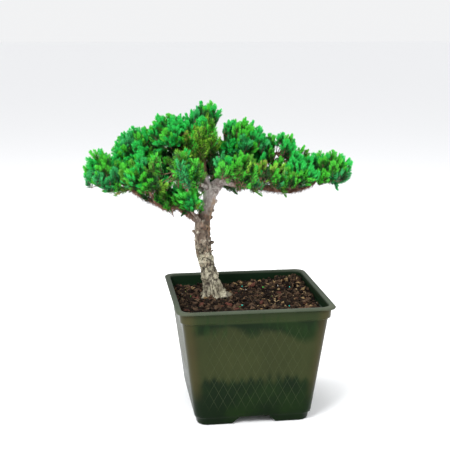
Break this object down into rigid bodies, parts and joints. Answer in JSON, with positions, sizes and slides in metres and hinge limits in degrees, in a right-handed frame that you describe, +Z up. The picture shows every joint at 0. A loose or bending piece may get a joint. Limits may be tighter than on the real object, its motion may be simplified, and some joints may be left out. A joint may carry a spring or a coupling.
{
  "type": "potted garden juniper bonsai",
  "caption": "Young garden juniper trained as a bonsai: bent trunk, spreading boughs with pads of needle sprays, in a square plastic nursery pot filled with bark soil.",
  "frame": {"origin": "on the surface that the pot stands on, under the middle of the whole plant's box", "axes": "+Z up, -Y towards the pot's front face, +X to the right along that face"},
  "size_m": [0.2442, 0.1604, 0.2803],
  "materials": {
    "pot": "semi-gloss dark green plastic",
    "soil": "loose bark and compost",
    "bark": "flaking bark",
    "young_bark": "young bark",
    "foliage": "needle foliage"
  },
  "bodies": {
    "root": {"pot": "pot", "soil": "soil", "trunk": "bark", "bough_far_right": "young_bark", "bough_far_left": "young_bark", "bough_back_right": "young_bark", "bough_left_crest": "young_bark", "bough_back_left": "young_bark", "bough_right_crest": "young_bark", "bough_low_tuft": "young_bark", "bough_front_left": "young_bark", "bough_front_right": "young_bark", "bough_left_shoulder": "young_bark", "bough_left_low": "young_bark", "bough_right_shoulder": "young_bark", "bough_right_low": "young_bark", "bough_back_mid": "young_bark", "bough_back_under": "young_bark", "bough_back_low": "young_bark", "bough_back_inner": "young_bark", "bough_right_mid": "young_bark", "bough_left_inner": "young_bark", "foliage_apex": "foliage", "foliage_left_crest": "foliage", "foliage_left_shoulder": "foliage", "foliage_far_left": "foliage", "foliage_left_low": "foliage", "foliage_left_inner": "foliage", "foliage_low_tuft": "foliage", "foliage_front_left": "foliage", "foliage_front_right": "foliage", "foliage_right_crest": "foliage", "foliage_right_low": "foliage", "foliage_right_shoulder": "foliage", "foliage_right_mid": "foliage", "foliage_far_right": "foliage", "foliage_back_left": "foliage", "foliage_back_mid": "foliage", "foliage_back_right": "foliage", "foliage_back_low": "foliage", "foliage_back_inner": "foliage", "foliage_back_under": "foliage"}
  },
  "joints": []
}
